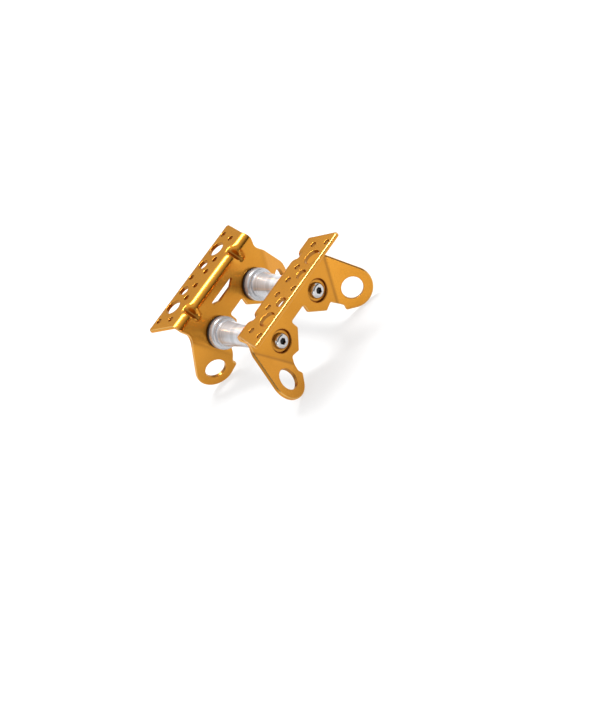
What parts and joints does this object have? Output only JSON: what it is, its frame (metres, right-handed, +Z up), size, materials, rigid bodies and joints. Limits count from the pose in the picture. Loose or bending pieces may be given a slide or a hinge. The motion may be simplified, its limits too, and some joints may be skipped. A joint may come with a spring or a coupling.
{
  "type": "rope edge roller",
  "caption": "Edge roller for rope work: bent perforated side plates with lug holes hold grooved rollers on sealed ball bearings, so a rope runs over an edge.",
  "frame": {"origin": "on the ground under the middle of the frame, with the lugs' lowest points at Z = 0", "axes": "+X along the rope's run, +Y along the axles to the right side plate, +Z up, away from the edge"},
  "size_m": [0.1318, 0.1552, 0.0766],
  "materials": {
    "gold_aluminium": "satin gold anodised",
    "turned_aluminium": "bright turned",
    "axle_steel": "ground",
    "stainless_steel": "polished",
    "bearing_steel": "ground and polished",
    "shield_steel": "pressed",
    "black_polymer": "matt black acetal",
    "cage_polymer": "natural nylon"
  },
  "bodies": {
    "frame": {"right_side_plate": "gold_aluminium", "left_side_plate": "gold_aluminium", "front_axle": "axle_steel", "rear_axle": "axle_steel", "front_right_screw": "stainless_steel", "front_right_side_washer": "black_polymer", "front_right_shim": "axle_steel", "front_right_inner_ring": "bearing_steel", "front_left_screw": "stainless_steel", "front_left_side_washer": "black_polymer", "front_left_shim": "axle_steel", "front_left_inner_ring": "bearing_steel", "rear_right_screw": "stainless_steel", "rear_right_side_washer": "black_polymer", "rear_right_shim": "axle_steel", "rear_right_inner_ring": "bearing_steel", "rear_left_screw": "stainless_steel", "rear_left_side_washer": "black_polymer", "rear_left_shim": "axle_steel", "rear_left_inner_ring": "bearing_steel"},
    "front_roller": {"front_roller": "turned_aluminium", "front_right_outer_ring": "bearing_steel", "front_right_shields": "shield_steel", "front_left_outer_ring": "bearing_steel", "front_left_shields": "shield_steel"},
    "rear_roller": {"rear_roller": "turned_aluminium", "rear_right_outer_ring": "bearing_steel", "rear_right_shields": "shield_steel", "rear_left_outer_ring": "bearing_steel", "rear_left_shields": "shield_steel"},
    "front_right_cage": {"front_right_cage": "cage_polymer", "front_right_balls": "bearing_steel"},
    "front_left_cage": {"front_left_cage": "cage_polymer", "front_left_balls": "bearing_steel"},
    "rear_right_cage": {"rear_right_cage": "cage_polymer", "rear_right_balls": "bearing_steel"},
    "rear_left_cage": {"rear_left_cage": "cage_polymer", "rear_left_balls": "bearing_steel"}
  },
  "joints": [
    {"name": "front_roller_turn", "type": "hinge", "parent": "frame", "child": "front_roller", "pos_m": [0.027, 0, 0.03905], "axis": [0, 1, 0], "continuous": true},
    {"name": "front_right_cage_turn", "type": "hinge", "parent": "frame", "child": "front_right_cage", "pos_m": [0.027, 0.0367, 0.03905], "axis": [0, 1, 0], "continuous": true},
    {"name": "front_left_cage_turn", "type": "hinge", "parent": "frame", "child": "front_left_cage", "pos_m": [0.027, -0.0367, 0.03905], "axis": [0, 1, 0], "continuous": true},
    {"name": "rear_roller_turn", "type": "hinge", "parent": "frame", "child": "rear_roller", "pos_m": [-0.027, 0, 0.03905], "axis": [0, 1, 0], "continuous": true},
    {"name": "rear_right_cage_turn", "type": "hinge", "parent": "frame", "child": "rear_right_cage", "pos_m": [-0.027, 0.0367, 0.03905], "axis": [0, 1, 0], "continuous": true},
    {"name": "rear_left_cage_turn", "type": "hinge", "parent": "frame", "child": "rear_left_cage", "pos_m": [-0.027, -0.0367, 0.03905], "axis": [0, 1, 0], "continuous": true}
  ],
  "couplings": [
    {"joint": "front_right_cage_turn", "follows": "front_roller_turn", "ratio": 0.5842},
    {"joint": "front_left_cage_turn", "follows": "front_roller_turn", "ratio": 0.5842},
    {"joint": "rear_right_cage_turn", "follows": "rear_roller_turn", "ratio": 0.5842},
    {"joint": "rear_left_cage_turn", "follows": "rear_roller_turn", "ratio": 0.5842}
  ]
}
